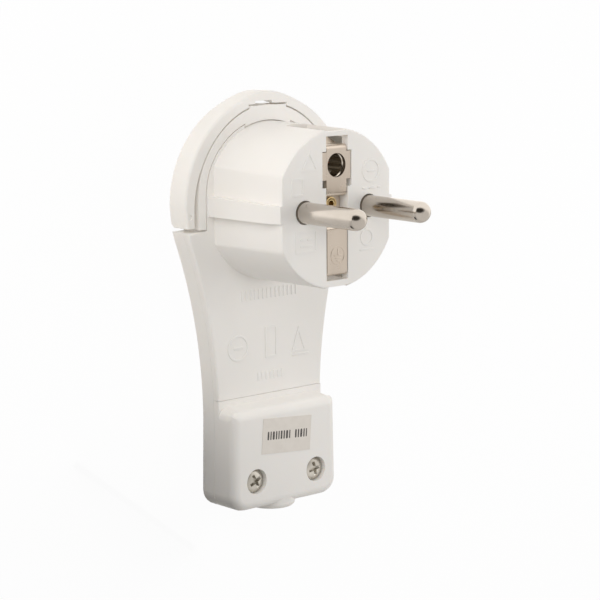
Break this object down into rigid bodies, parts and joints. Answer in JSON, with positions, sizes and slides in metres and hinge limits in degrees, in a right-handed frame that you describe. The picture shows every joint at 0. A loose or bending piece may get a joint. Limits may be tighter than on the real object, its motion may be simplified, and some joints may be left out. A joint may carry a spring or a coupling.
{
  "type": "flat earthed mains plug",
  "caption": "Flat earthed mains plug: round pin body with side earth springs, flat stem with a screwed cable cover, and a hinged bow handle to pull it out.",
  "frame": {"origin": "on the flat back, under the axis of the round pin body", "axes": "+X across the pins, +Y from the cable end towards the pull handle, +Z the way the pins point"},
  "size_m": [0.0488, 0.0973, 0.0488],
  "materials": {
    "white_shell": "warm white moulded plastic, smooth",
    "inner_plastic": "white moulded plastic, plain",
    "nickel_plate": "nickel-plated brass",
    "bare_brass": "bare brass",
    "zinc_steel": "zinc-plated steel"
  },
  "bodies": {
    "plug_body": {"rear_cover": "white_shell", "front_housing": "white_shell", "cable_cover": "white_shell", "pin_left": "nickel_plate", "pin_right": "nickel_plate", "earth_strip": "nickel_plate", "earth_socket_plate": "nickel_plate", "earth_socket_sleeve": "nickel_plate", "earth_rivet": "bare_brass", "earth_terminal": "bare_brass", "earth_terminal_screw": "zinc_steel", "contact_retainer": "inner_plastic", "terminal_screw_left": "zinc_steel", "terminal_screw_right": "zinc_steel", "retainer_screw_left": "zinc_steel", "retainer_screw_right": "zinc_steel", "cord_clamp_bar": "inner_plastic", "cord_clamp_screw_left": "zinc_steel", "cord_clamp_screw_right": "zinc_steel", "cover_screw_left": "zinc_steel", "cover_screw_right": "zinc_steel"},
    "handle": {"pull_handle": "white_shell"}
  },
  "joints": [
    {"name": "handle_hinge", "type": "hinge", "parent": "plug_body", "child": "handle", "pos_m": [0, -0.0021, 0.0031], "axis": [-1, 0, 0], "range_deg": [0, 90]}
  ]
}
